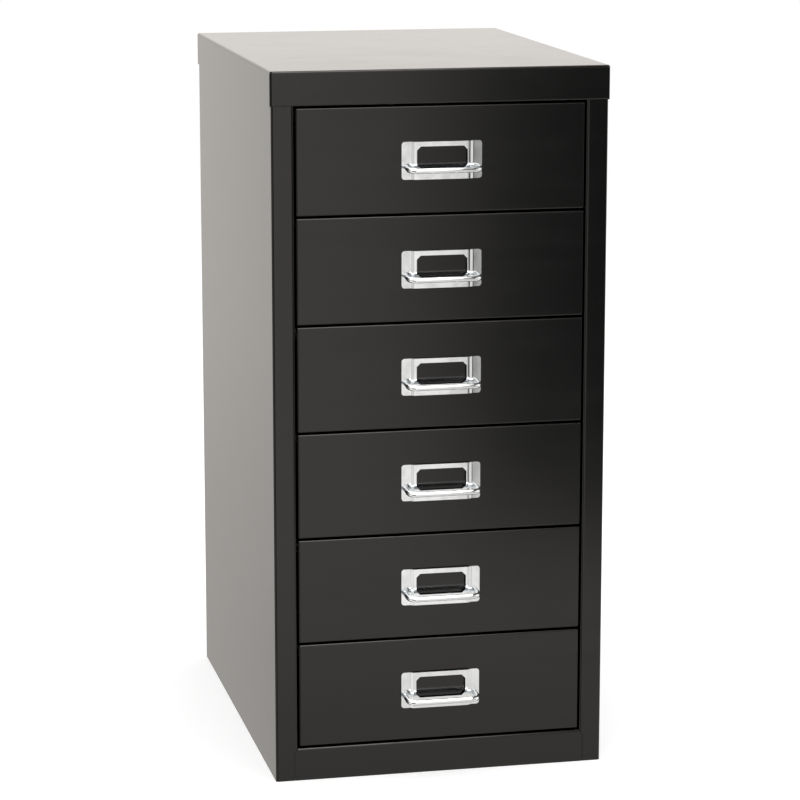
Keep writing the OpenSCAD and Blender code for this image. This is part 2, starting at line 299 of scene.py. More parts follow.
class Tree:
    """A node tree with short calls for its nodes."""

    def __init__(self, tree: bpy.types.NodeTree) -> None:
        """Takes the tree and empties it."""
        self.tree = tree
        tree.nodes.clear()

    def add(self, kind: str, *values: object, **settings: object) -> bpy.types.Node:
        """Adds a node.

        Args:
            kind: the node's type.
            values: its first inputs, in order.
            settings: its properties.

        Returns:
            The node.
        """
        node = self.tree.nodes.new(kind)
        for name, value in settings.items():
            setattr(node, name, value)
        for socket, value in zip(node.inputs, values):
            self.feed(socket, value)
        return node

    def feed(self, socket: bpy.types.NodeSocket, value: object) -> None:
        """Links an output to a socket, or sets the socket's own value.

        Args:
            socket: the input.
            value: an output socket or a plain value.
        """
        if isinstance(value, bpy.types.NodeSocket):
            self.tree.links.new(value, socket)
        else:
            socket.default_value = value

    def place(self) -> bpy.types.NodeSocket:
        """Adds the coordinates on the piece, in metres."""
        return self.add("ShaderNodeTexCoord").outputs["Object"]

    def math(self, operation: str, *values: object) -> bpy.types.NodeSocket:
        """Adds a Math node and returns its output."""
        return self.add("ShaderNodeMath", *values, operation=operation).outputs[0]

    def spread(
        self, value: object, low: object, high: object, start: object = 0.0, end: object = 1.0
    ) -> bpy.types.NodeSocket:
        """Carries a value smoothly from one range to another.

        Args:
            value: the value.
            low: where the first range starts.
            high: where it ends.
            start: where the second range starts.
            end: where it ends.

        Returns:
            The result.
        """
        given = (value, low, high, start, end)
        return self.add("ShaderNodeMapRange", *given, interpolation_type="SMOOTHSTEP").outputs[0]

    def noise(
        self, place: object, scale: object, detail: float = 2.0, rough: float = 0.5
    ) -> bpy.types.NodeSocket:
        """Adds a noise texture.

        Args:
            place: coordinates.
            scale: waves to a metre.
            detail: octaves.
            rough: weight of the finer octaves.

        Returns:
            Its value, from 0 to 1.
        """
        node = self.add("ShaderNodeTexNoise", place)
        self.feed(node.inputs["Scale"], scale)
        self.feed(node.inputs["Detail"], detail)
        self.feed(node.inputs["Roughness"], rough)
        return node.outputs[0]

    def tint(self, amount: object, first: object, second: object) -> bpy.types.NodeSocket:
        """Mixes two colours.

        Args:
            amount: share of the second colour.
            first: colour at 0.
            second: colour at 1.

        Returns:
            The mixed colour.
        """
        node = self.add("ShaderNodeMix", amount, data_type="RGBA")
        self.feed(node.inputs[6], first)
        self.feed(node.inputs[7], second)
        return node.outputs[2]

    def surface(self, colour: object, rough: object, height: object, **traits: object) -> None:
        """Makes a material's surface.

        Args:
            colour: its colour.
            rough: its roughness.
            height: its relief, in millimetres.
            traits: the shader's other inputs.
        """
        bump = self.add("ShaderNodeBump")
        self.feed(bump.inputs["Distance"], MM)
        self.feed(bump.inputs["Height"], height)
        shader = self.add("ShaderNodeBsdfPrincipled")
        traits |= {"Base Color": colour, "Roughness": rough, "Normal": bump.outputs[0]}
        for name, value in traits.items():
            self.feed(shader.inputs[name], value)
        self.add("ShaderNodeOutputMaterial", shader.outputs[0])

    def zone(self, level: object, mask: object, target: object) -> bpy.types.NodeSocket:
        """Brings a brightness to another one where a mask is 1."""
        return self.math("MULTIPLY_ADD", mask, self.math("SUBTRACT", target, level), level)

    def rays(self) -> tuple[bpy.types.NodeSocket, bpy.types.NodeSocket]:
        """Tells the rays apart.

        Returns:
            1 for the camera's own rays, and 1 for those that a face mirrors or lets through.
        """
        path = self.add("ShaderNodeLightPath").outputs
        mirrored = self.math("MAXIMUM", path["Is Glossy Ray"], path["Is Transmission Ray"])
        return path["Is Camera Ray"], mirrored


def new_material(name: str) -> tuple[bpy.types.Material, Tree]:
    """Starts a material.

    Args:
        name: its name.

    Returns:
        The material and its empty node tree.
    """
    made = bpy.data.materials.new(name)
    made.use_nodes = True
    return made, Tree(made.node_tree)


class Effect(Enum):
    """Effects that the finishes share."""

    ENAMEL_SKIN = "enamel skin"
    DUST = "settled dust"
    WIPE_MARKS = "wipe marks"
    SPOT_WELDS = "spot welds"
    DRAWN_LINES = "drawn lines"


class EffectShelf:
    """Builds each shared effect once and keeps it."""

    CLOUDY = (3.0, 0.6)  # octaves of a cloud, and the weight of the finer ones
    FACING_UP = (0.4, 1.0)  # rise of the face over which dust sets in
    DRIFTS = (0.3, 0.75)
    GRAINS = (0.5, 0.75)
    WIPES = (0.45, 0.8)
    ROLLED = (0.02, 0.05, 1.0)  # stretch of the drawn lines along X and Y

    def __init__(self) -> None:
        """Starts with nothing built."""
        self.built: dict[Effect, bpy.types.NodeTree] = {}

    def put(self, tree: Tree, effect: Effect, **values: float) -> bpy.types.NodeOutputs:
        """Places an effect, built the first time it is asked for.

        Args:
            tree: the nodes it goes among.
            effect: which one.
            values: its inputs, with _ for a space.

        Returns:
            Its outputs.
        """
        if effect not in self.built:
            group = Tree(bpy.data.node_groups.new(effect.value, "ShaderNodeTree"))
            getattr(self, effect.name.lower())(group)
            self.built[effect] = group.tree
        node = tree.add("ShaderNodeGroup", node_tree=self.built[effect])
        for name, value in values.items():
            tree.feed(node.inputs[name.replace("_", " ").title()], value)
        return node.outputs

    @staticmethod
    def take(tree: Tree, **defaults: float) -> bpy.types.NodeOutputs:
        """Gives a node group its inputs.

        Args:
            tree: the group's nodes.
            defaults: the inputs with their defaults, with _ for a space.

        Returns:
            The inputs, as the group's nodes see them.
        """
        for name, value in defaults.items():
            socket = tree.tree.interface.new_socket(
                name.replace("_", " ").title(), in_out="INPUT", socket_type="NodeSocketFloat"
            )
            socket.default_value = value
        return tree.add("NodeGroupInput").outputs

    @staticmethod
    def give(tree: Tree, **results: bpy.types.NodeSocket) -> None:
        """Gives a node group its outputs.

        Args:
            tree: the group's nodes.
            results: what each output carries.
        """
        for name in results:
            tree.tree.interface.new_socket(name.title(), in_out="OUTPUT", socket_type="NodeSocketFloat")
        tree.add("NodeGroupOutput", *results.values())

    def enamel_skin(self, tree: Tree) -> None:
        """Baked enamel: fine peel over the slow waves of the sheet, in millimetres of height.

        Args:
            tree: the group's nodes.
        """
        sizes = self.take(
            tree, peel_scale=620.0, peel_depth=0.001, wave_scale=7.0, wave_depth=0.1, cloud_scale=24.0
        )
        place = tree.place()
        peel = tree.math("MULTIPLY", tree.noise(place, sizes["Peel Scale"]), sizes["Peel Depth"])
        wave = tree.math("MULTIPLY", tree.noise(place, sizes["Wave Scale"], 1.0), sizes["Wave Depth"])
        cloud = tree.noise(place, sizes["Cloud Scale"], *self.CLOUDY)
        self.give(tree, height=tree.math("ADD", peel, wave), cloud=cloud)

    def dust(self, tree: Tree) -> None:
        """Dust that settles on faces that look up.

        Args:
            tree: the group's nodes.
        """
        sizes = self.take(tree, amount=1.0, grain_scale=900.0, drift_scale=9.0)
        place = tree.place()
        normal = tree.add("ShaderNodeNewGeometry").outputs["Normal"]
        up = tree.spread(tree.add("ShaderNodeSeparateXYZ", normal).outputs["Z"], *self.FACING_UP)
        drift = tree.spread(tree.noise(place, sizes["Drift Scale"], 3.0), *self.DRIFTS)
        grain = tree.spread(tree.noise(place, sizes["Grain Scale"], 1.0), *self.GRAINS)
        speck = tree.math("MULTIPLY", tree.math("ADD", drift, grain), 0.5)
        self.give(tree, mask=tree.math("MULTIPLY", tree.math("MULTIPLY", up, speck), sizes["Amount"]))

    def wipe_marks(self, tree: Tree) -> None:
        """Long soft marks left by wiping along X.

        Args:
            tree: the group's nodes.
        """
        sizes = self.take(tree, mark_scale=60.0, stretch=0.12)
        along = tree.add("ShaderNodeCombineXYZ", sizes["Stretch"], sizes["Stretch"], 1.0).outputs[0]
        drawn = tree.add("ShaderNodeVectorMath", tree.place(), along, operation="MULTIPLY").outputs[0]
        marks = tree.noise(drawn, sizes["Mark Scale"], *self.CLOUDY)
        self.give(tree, mask=tree.spread(marks, *self.WIPES))

    def spot_welds(self, tree: Tree) -> None:
        """Round dimples in an upright row on both sides of the back.

        Args:
            tree: the group's nodes.
        """
        sizes = self.take(tree, row_x=0.1325, pitch=0.056, radius=0.0026, back_y=0.187)
        place = tree.add("ShaderNodeSeparateXYZ", tree.place()).outputs
        across = tree.math("SUBTRACT", tree.math("ABSOLUTE", place["X"]), sizes["Row X"])
        half = tree.math("MULTIPLY", sizes["Pitch"], 0.5)
        upward = tree.math("SUBTRACT", tree.math("MODULO", place["Z"], sizes["Pitch"]), half)
        squares = (tree.math("POWER", offset, 2.0) for offset in (across, upward))
        away = tree.math("SQRT", tree.math("ADD", *squares))
        dimple = tree.math("SUBTRACT", 1.0, tree.spread(away, 0.0, sizes["Radius"]))
        behind = tree.math("GREATER_THAN", place["Y"], sizes["Back Y"])
        self.give(tree, mask=tree.math("MULTIPLY", dimple, behind))

    def drawn_lines(self, tree: Tree) -> None:
        """Fine lines that rolling and polishing leave along the metal.

        Args:
            tree: the group's nodes.
        """
        sizes = self.take(tree, line_scale=2600.0, cloud_scale=90.0)
        place = tree.place()
        drawn = tree.add("ShaderNodeVectorMath", place, self.ROLLED, operation="MULTIPLY").outputs[0]
        cloud = tree.noise(place, sizes["Cloud Scale"], *self.CLOUDY)
        self.give(tree, lines=tree.noise(drawn, sizes["Line Scale"]), cloud=cloud)


@dataclass(frozen=True)
class Enamel:
    """Black baked enamel."""

    name: str
    colour: Point = (0.0034, 0.0034, 0.0035)
    dust_colour: Point = (0.016, 0.0155, 0.0145)
    roughness: float = 0.13
    roughness_spread: float = 0.02
    dust: float = 0.25
    peel_depth: float = 0.0005
    wave_depth: float = 0.03
    weld_depth: float = 0.0
    dust_roughness: float = 0.12
    clouded: tuple[float, float] = (0.3, 0.7)
    ior: float = 1.5

    def material(self, shelf: EffectShelf) -> bpy.types.Material:
        """Builds the finish.

        Args:
            shelf: the shared effects.

        Returns:
            The material.
        """
        made, tree = new_material(self.name)
        skin = shelf.put(
            tree, Effect.ENAMEL_SKIN, peel_depth=self.peel_depth, wave_depth=self.wave_depth
        )
        dust = shelf.put(tree, Effect.DUST, amount=self.dust)["Mask"]
        wipes = shelf.put(tree, Effect.WIPE_MARKS)["Mask"]
        colour = tree.tint(dust, (*self.colour, 1.0), (*self.dust_colour, 1.0))
        smoothest = self.roughness - self.roughness_spread / 2
        cloud = tree.spread(skin["Cloud"], *self.clouded, smoothest, self.roughness)
        rough = tree.math("MULTIPLY_ADD", wipes, self.roughness_spread, cloud)
        rough = tree.math("MULTIPLY_ADD", dust, self.dust_roughness, rough)
        height = skin["Height"]
        if self.weld_depth:
            welds = shelf.put(tree, Effect.SPOT_WELDS)["Mask"]
            height = tree.math("MULTIPLY_ADD", welds, -self.weld_depth, height)
        tree.surface(colour, rough, height, IOR=self.ior)
        return made


@dataclass(frozen=True)
class BareMetal:
    """Plated metal with drawn lines."""

    name: str
    colour: Point
    dull_colour: Point
    roughness: float
    roughness_spread: float
    line_scale: float
    line_depth: float
    cloud_scale: float = 90.0
    clouded: tuple[float, float] = (0.35, 0.7)

    def material(self, shelf: EffectShelf) -> bpy.types.Material:
        """Builds the finish.

        Args:
            shelf: the shared effects.

        Returns:
            The material.
        """
        made, tree = new_material(self.name)
        drawn = shelf.put(
            tree, Effect.DRAWN_LINES, line_scale=self.line_scale, cloud_scale=self.cloud_scale
        )
        cloud = tree.spread(drawn["Cloud"], *self.clouded)
        colour = tree.tint(cloud, (*self.colour, 1.0), (*self.dull_colour, 1.0))
        rough = tree.math("MULTIPLY_ADD", cloud, self.roughness_spread, self.roughness)
        height = tree.math("MULTIPLY", drawn["Lines"], self.line_depth)
        tree.surface(colour, rough, height, Metallic=1.0)
        return made


class Finishes:
    """The cabinet's materials, one for each slot."""

    def __init__(self) -> None:
        """Builds every finish."""
        shelf = EffectShelf()
        self.outer = Enamel("outer enamel", weld_depth=0.25).material(shelf)
        self.drawer = Enamel("drawer enamel").material(shelf)
        self.tray = Enamel(
            "tray enamel", (0.011, 0.011, 0.0112), roughness=0.3, dust=0.5
        ).material(shelf)
        self.inner = Enamel(
            "inner enamel", (0.006, 0.006, 0.0062), roughness=0.42, dust=0.6
        ).material(shelf)
        self.chrome = BareMetal(
            "bright chrome", (0.82, 0.85, 0.88), (0.77, 0.80, 0.83), 0.1, 0.04, 1500.0, 0.0003
        ).material(shelf)
        self.polished = BareMetal(
            "polished chrome", (0.84, 0.87, 0.9), (0.8, 0.83, 0.86), 0.025, 0.02, 1500.0, 0.0001
        ).material(shelf)
        self.zinc = BareMetal(
            "zinc plate", (0.62, 0.63, 0.64), (0.47, 0.48, 0.5), 0.3, 0.16, 2600.0, 0.004, 130.0
        ).material(shelf)


# ---------------------------------------------------------------- cabinet


@dataclass
class TopCap:
    """Shallow lid folded from one sheet, with a slit and a round relief at each corner."""

    sheet: float = 1.0
    bend: float = 2.0
    segments: int = 9
    relief: float = 1.35
    relief_reach: float = 1.35
    hem: float = 1.25
    hem_bend: float = 1.2
    hem_segments: int = 6

    def shape(self) -> Work:
        """Folds the lid.

        Returns:
            The work, with its outer face drawn.
        """
        low, high = node_box("top_cap")
        work = Work()
        work.block(low, high)
        work.remove(work.faces(lambda middle, out: out.z < -ALONG))
        work.bend(work.edges(lambda middle, along: middle.z > low.z + 1), self.bend, self.segments)
        self.open_corners(work, low, high)
        self.turn_hems(work, low, high)
        return work

    def turn_hems(self, work: Work, low: Vector, high: Vector) -> None:
        """Turns the lower edge of the front and back lips in.

        Args:
            work: the folded lid with its open corners.
            low: its lowest corner.
            high: its highest corner.
        """
        for edge, into in ((low.y, 1), (high.y, -1)):
            foot = work.edges(lambda middle, along: middle.z < low.z + ON and abs(middle.y - edge) < ON)
            line = [tuple(vert.co for vert in side.verts) for side in foot]
            work.draw_out(foot, Vector((0, into * self.hem, 0)))
            fold = [side for side in work.bm.edges if tuple(vert.co for vert in side.verts) in line]
            work.bend(fold, self.hem_bend, self.hem_segments)

    def open_corners(self, work: Work, low: Vector, high: Vector) -> None:
        """Opens the slit and the relief where the lips meet.

        Args:
            work: the folded lid.
            low: its lowest corner.
            high: its highest corner.
        """
        level = 0.05
        work.remove(work.faces(
            lambda middle, out: abs(out.z) < level and abs(abs(out.x) - abs(out.y)) < level
        ))
        reach = self.bend * (1 - 1 / math.sqrt(3))
        marks = [
            Vector((x + math.copysign(reach, -x), y + math.copysign(reach, -y), high.z - reach))
            for x in (low.x, high.x) for y in (low.y, high.y)
        ]
        work.remove(work.faces(
            lambda middle, out: min((middle - mark).length for mark in marks) < self.relief
        ))
        for vert in work.bm.verts:
            mark = min(marks, key=lambda spot: (vert.co - spot).length)
            away = vert.co - mark
            if vert.is_boundary and away.length < self.relief * self.relief_reach:
                vert.co = mark + away * (self.relief / away.length)

    def build(self, finishes: Finishes) -> None:
        """Makes, dresses and places the lid."""
        piece = self.shape().finish("top_cap_sheet", Vector((0, 0, 1)), self.sheet)
        place(piece, "cabinet", Slot.OUTER, finishes.outer, "top_cap")


@dataclass
class SidePanel:
    """One sheet folded into a side wall, a front post with its return and two flanges."""

    side: Side
    sheet: float = 1.0
    bend: float = 2.0
    post: float = 18.5
    post_return: float = 20.0
    flange: float = 14.0
    wall_top: float = 585.0
    flange_inset: float = 3.0
    notch_width: float = 3.0
    notch_height: float = 27.0
    rims: tuple[float, float] = (0.05, 0.2)

    def shape(self) -> Work:
        """Folds the panel and cuts its foot for the bottom rail.

        Returns:
            The work, with its outer face drawn.
        """
        low, high = node_box(f"{self.side.word}_side_panel")
        sign = self.side.value
        outer = max(abs(low.x), abs(high.x)) * sign
        opening = outer - sign * self.post
        work = Work()
        foot = work.outline([
            (opening, low.y + self.post_return, 0),
            (opening, low.y, 0),
            (outer, low.y, 0),
            (outer, high.y, 0),
            (outer - sign * self.flange, high.y, 0),
        ])
        work.draw_out(foot, Vector((0, 0, self.wall_top)))
        work.bend([edge for edge in work.bm.edges if len(edge.link_faces) == 2], self.bend)
        self.cut_notch(work, opening)
        self.fold_top(work, outer, low.y, high)
        return work

    def cut_notch(self, work: Work, opening: float) -> None:
        """Cuts the foot of the post for the bottom rail.

        Args:
            work: the folded panel.
            opening: X of the drawer opening's edge.
        """
        sign = self.side.value
        inside: Callable[[Vector], float] = lambda point: (point.x - opening) * sign
        post: Test = lambda middle, out: inside(middle) < self.post - 1
        work.cut((opening + sign * self.notch_width, 0, 0), (1, 0, 0), post)
        near: Test = lambda middle, out: inside(middle) < self.notch_width
        work.cut((opening, 0, self.notch_height), (sign, 0, 1), near)
        work.remove(work.faces(
            lambda middle, out: near(middle, out) and middle.z < self.notch_height - inside(middle)
        ))

    def fold_top(self, work: Work, outer: float, front: float, high: Vector) -> None:
        """Folds the top flange that the lid rests on.

        Args:
            work: the folded panel.
            outer: X of the side wall.
            front: Y of the post's face.
            high: highest corner of the panel.
        """
        ends = (front + self.flange_inset, high.y - self.flange_inset)
        for end in ends:
            work.cut((0, end, 0), (0, 1, 0), lambda middle, out: abs(middle.x - outer) < ON)
        edge = work.edges(
            lambda middle, along: abs(middle.x - outer) < ON and middle.z > self.wall_top - ON
            and ends[0] < middle.y < ends[1]
        )
        edge = work.draw_out(edge, Vector((0, 0, high.z - self.wall_top)))
        work.draw_out(edge, Vector((-self.side.value * self.flange, 0, 0)))
        work.bend(work.edges(
            lambda middle, along: abs(along.y) > ALONG and abs(middle.x - outer) < ON
            and middle.z > high.z - ON
        ), self.bend)

    def build(self, finishes: Finishes) -> None:
        """Makes, dresses and places the panel."""
        node = f"{self.side.word}_side_panel"
        rim = self.rims[self.side is Side.RIGHT]
        piece = self.shape().finish(f"{node}_sheet", Vector((self.side.value, 0, 0)), self.sheet, rim)
        place(piece, "cabinet", Slot.OUTER, finishes.outer, node)


@dataclass
class BaseRail:
    """Bottom front rail with a shelf and a hem, stepped where it reaches under the posts."""

    sheet: float = 1.0
    bend: float = 2.0
    tongue: float = 3.0
    shoulder_height: float = 27.0
    hem: float = 9.0
    rim: float = 0.05

    def shape(self) -> Work:
        """Folds the rail and trims its ends.

        Returns:
            The work, with its outer face drawn.
        """
        low, high = node_box("base_rail")
        work = Work()
        end = work.outline([
            (low.x, low.y, low.z),
            (low.x, low.y, high.z),
            (low.x, high.y, high.z),
            (low.x, high.y, high.z - self.hem),
        ])
        work.draw_out(end, Vector((high.x - low.x, 0, 0)))
        work.bend([edge for edge in work.bm.edges if len(edge.link_faces) == 2], self.bend)
        shoulder = high.x - self.tongue
        for sign in (-1, 1):
            work.cut((sign * shoulder, 0, 0), (1, 0, 0))
            work.cut(
                (sign * shoulder, 0, self.shoulder_height), (sign, 0, 1),
                lambda middle, out: middle.x * sign > shoulder,
            )
        above = self.shoulder_height + shoulder
        work.remove(work.faces(
            lambda middle, out: abs(middle.x) > shoulder and middle.z > above - abs(middle.x)
        ))
        return work

    def build(self, finishes: Finishes) -> None:
        """Makes, dresses and places the rail."""
        piece = self.shape().finish("base_rail_sheet", Vector((0, -1, 0)), self.sheet, self.rim)
        place(piece, "cabinet", Slot.OUTER, finishes.outer, "base_rail")


class Carcass:
    """Packed cabinet pieces that keep their shape: back, pan, header, uprights and runners."""

    def build(self, nodes: dict[str, bpy.types.Object], finishes: Finishes) -> None:
        """Dresses the pieces.

        Args:
            nodes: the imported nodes.
            finishes: the materials.
        """
        dress(nodes["back_panel"], finishes.outer)
        dress(nodes["base_pan"], finishes.inner)
        dress(nodes["header_rail"], finishes.inner)
        for side in Side:
            for end in ("front", "rear"):
                dress(nodes[f"{side.word}_{end}_upright"], finishes.inner)
            for number in DRAWERS:
                dress(nodes[f"{side.word}_runner_{number}"], finishes.zinc)


# ---------------------------------------------------------------- drawers


@dataclass
class CardFrame:
    """Pressed and plated frame with a raised card pocket between two flat wings."""

    number: int
    sheet: float = 0.9
    corner: float = 2.5
    corner_segments: int = 7
    pocket_half: float = 23.0
    slopes: tuple[float, float] = (2.5, 3.2)
    raise_by: float = 2.0
    window_half: float = 21.0
    window_height: float = 18.0
    window_top: float = 3.8
    chamfer: float = 3.2
    folds: tuple[float, float] = (0.4, 0.5)
    fold_segments: int = 3
    wing_turn: float = 0.0012
    pocket_turn: float = 0.0075
    rim: float = 0.2

    def shape(self) -> Work:
        """Presses the frame.

        Returns:
            The work, with its outer face drawn.
        """
        low, high = node_box(f"drawer_{self.number}_card_frame")
        back = high.y - self.sheet
        work = Work()
        sill = [(low.x, back, low.z), (high.x, back, low.z)]
        work.draw_out(work.outline(sill), Vector((0, 0, high.z - low.z)))
        bmesh.ops.bevel(
            work.bm, geom=work.bm.verts[:], offset=self.corner, offset_type="OFFSET",
            segments=self.corner_segments, profile=0.5, affect="VERTICES", material=-1,
        )
        self.open_window(work, high.z)
        self.press_pocket(work)
        self.fold_foot(work, low.z)
        return work

    def open_window(self, work: Work, top: float) -> None:
        """Cuts the window with its chamfered corners.

        Args:
            work: the flat blank.
            top: Z of the frame's upper edge.
        """
        high = top - self.window_top
        low = high - self.window_height
        for x in (-self.window_half, self.window_half):
            work.cut((x, 0, 0), (1, 0, 0))
        for z in (low, high):
            work.cut((0, 0, z), (0, 0, 1))
        pane: Test = lambda middle, out: abs(middle.x) < self.window_half and low < middle.z < high
        for x in (-1, 1):
            for z, edge in ((-1, low), (1, high)):
                work.cut((x * (self.window_half - self.chamfer), 0, edge), (x, 0, z), pane)
        middle_z = (low + high) / 2
        work.remove(work.faces(
            lambda middle, out: pane(middle, out) and abs(middle.x) < 1 and abs(middle.z - middle_z) < 1
        ))

    def press_pocket(self, work: Work) -> None:
        """Raises the pocket, and turns it and the wings a touch off square as pressing leaves them.

        Args:
            work: the blank with its window.
        """
        sides = tuple(zip((-1, 1), self.slopes, self.folds))
        for sign, slope, _ in sides:
            for x in (self.pocket_half, self.pocket_half + slope):
                work.cut((sign * x, 0, 0), (1, 0, 0))
        for vert in work.bm.verts:
            if abs(vert.co.x) < self.pocket_half + ON:
                vert.co.y -= self.raise_by + vert.co.x * self.pocket_turn
            else:
                vert.co.y -= vert.co.x * self.wing_turn
        for sign, slope, fold in sides:
            lines = (self.pocket_half, self.pocket_half + slope)
            work.bend(work.edges(
                lambda middle, along: abs(along.z) > ALONG
                and min(abs(sign * middle.x - x) for x in lines) < ON
            ), fold, self.fold_segments)

    def fold_foot(self, work: Work, low: float) -> None:
        """Closes the pocket along its lower edge.

        Args:
            work: the pressed frame.
            low: Z of the frame's lower edge.
        """
        foot = work.edges(lambda middle, along: abs(middle.x) < self.pocket_half and middle.z < low + ON)
        work.draw_out(foot, Vector((0, self.raise_by, 0)))

    def build(self, finishes: Finishes) -> None:
        """Makes, dresses and places the frame."""
        node = f"drawer_{self.number}_card_frame"
        piece = self.shape().finish(f"{node}_pressing", Vector((0, -1, 0)), self.sheet, self.rim)
        place(piece, f"drawer_{self.number}", Slot.CHROME, finishes.chrome, node)


@dataclass
class BowPull:
    """Bow of round rod with two bent corners and a threaded stud behind each arm."""

    number: int
    rod: float = 4.4
    stud: float = 3.0
    reach: float = 15.0
    corner: float = 6.0
    arm: float = 29.575
    facets: int = 28
    steps: int = 12
    lift: float = 0.7
    droop: float = 1.1

    def shape(self) -> Work:
        """Draws the rod out and bends it.

        Returns:
            The closed work.
        """
        low, high = node_box(f"drawer_{self.number}_pull")
        tip = high.y
        wing = low.y + self.rod / 2 + self.reach
        height = (low.z + high.z) / 2
        inset = self.arm - self.corner
        leg = Vector((0, self.reach - self.corner, 0))
        pin = Vector((0, tip - wing, 0))
        work = Work()
        ring = bmesh.ops.create_circle(
            work.bm, segments=self.facets, radius=self.stud / 2, cap_ends=True
        )["verts"]
        bmesh.ops.rotate(work.bm, verts=ring, matrix=Quaternion((1, 0, 0), math.pi / 2).to_matrix())
        bmesh.ops.translate(work.bm, verts=ring, vec=Vector((-self.arm, tip, height)))
        end = list(work.bm.edges)
        end = work.draw_out(end, -pin)
        end = self.widen(work, end, self.rod / self.stud)
        end = work.draw_out(end, -leg)
        for x, along in ((-inset, Vector((2 * inset, 0, 0))), (inset, leg)):
            end = self.turn(work, end, Vector((x, wing - leg.y, height)))
            end = work.draw_out(end, along)
        end = self.widen(work, end, self.stud / self.rod)
        end = work.draw_out(end, pin)
        bmesh.ops.contextual_create(work.bm, geom=end)
        for vert in work.bm.verts:
            if vert.co.y < wing + ON:
                vert.co.z += self.lift - self.droop * (wing - vert.co.y) / self.reach
        return work

    @staticmethod
    def widen(work: Work, ring: Edges, factor: float) -> Edges:
        """Makes a step in the rod's thickness.

        Args:
            work: the rod so far.
            ring: edges of its open end.
            factor: new thickness over the old one.

        Returns:
            The edges of the new end.
        """
        ring = work.draw_out(ring, Vector((0, 0, 0)))
        verts = list({vert for edge in ring for vert in edge.verts})
        middle = sum((vert.co for vert in verts), Vector()) / len(verts)
        for vert in verts:
            vert.co = middle + (vert.co - middle) * factor
        return ring

    def turn(self, work: Work, ring: Edges, centre: Vector) -> Edges:
        """Bends the rod through a quarter turn.

        Args:
            work: the rod so far.
            ring: edges of its open end.
            centre: the bend's centre.

        Returns:
            The edges of the new end.
        """
        geom = list(ring) + list({vert for edge in ring for vert in edge.verts})
        made = bmesh.ops.spin(
            work.bm, geom=geom, cent=centre, axis=(0, 0, 1), angle=math.pi / 2, steps=self.steps,
            use_merge=False, use_duplicate=False,
        )["geom_last"]
        return [item for item in made if isinstance(item, bmesh.types.BMEdge)]

    def build(self, finishes: Finishes) -> None:
        """Makes, dresses and places the pull."""
        node = f"drawer_{self.number}_pull"
        piece = self.shape().finish(f"{node}_bow", Vector((0, 0, 0)))
        place(piece, f"drawer_{self.number}", Slot.CHROME, finishes.polished, node)


@dataclass
class Drawer:
    """One drawer: a boxed front with its card frame and pull, on a folded tray."""

    number: int
    sheet: float = 0.8
    bend: float = 1.3
    flange: float = 10.0
    segments: int = 7

    def shape_front(self) -> Work:
        """Folds the boxed front.

        Returns:
            The work, with its outer face drawn.
        """
        low, high = node_box(f"drawer_{self.number}_front")
        work = Work()
        work.block(low, high)
        rear = work.faces(lambda middle, out: out.y > ALONG)
        bmesh.ops.inset_region(work.bm, faces=rear, thickness=self.flange)
        work.remove(rear)
        near = 0.1
        work.bend(work.edges(
            lambda middle, along: middle.y < high.y - near or abs(abs(middle.x) - high.x) < near
            or min(abs(middle.z - low.z), abs(middle.z - high.z)) < near
        ), self.bend, self.segments)
        return work

    def build(self, nodes: dict[str, bpy.types.Object], finishes: Finishes) -> None:
        """Makes, dresses and places the drawer.

        Args:
            nodes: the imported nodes.
            finishes: the materials.
        """
        name = f"drawer_{self.number}"
        front = self.shape_front().finish(f"{name}_front_box", Vector((0, -1, 0)), self.sheet)
        place(front, name, Slot.DRAWER, finishes.drawer, f"{name}_front")
        dress(nodes[f"{name}_tray"], finishes.tray)
        dress(nodes[f"{name}_pull_nuts"], finishes.zinc)
        CardFrame(self.number).build(finishes)
        BowPull(self.number).build(finishes)


# ---------------------------------------------------------------- studio


@dataclass(frozen=True)
class Card:
    """A soft-edged card of the studio, by direction in degrees, and how bright it is.

    Azimuth is measured from the camera's side of the cabinet, -Y, towards +X.
    """

    azimuth: float
    elevation: float
    half_width: float
    half_height: float
    softness: float
    level: float

    def mask(self, tree: Tree, turn: object, rise: object) -> object:
        """Marks the directions that meet the card.

        Args:
            tree: the world's nodes.
            turn: azimuth of the direction.
            rise: its elevation.

        Returns:
            1 on the card and 0 beside it.
        """
        aside = tree.math("WRAP", tree.math("SUBTRACT", turn, self.azimuth), 180.0, -180.0)
        above = tree.math("SUBTRACT", rise, self.elevation)
        mask: object = 1.0
        for away, half in ((aside, self.half_width), (above, self.half_height)):
            inside = tree.spread(
                tree.math("ABSOLUTE", away), half - self.softness, half + self.softness, 1.0, 0.0
            )
            mask = tree.math("MULTIPLY", mask, inside)
        return mask


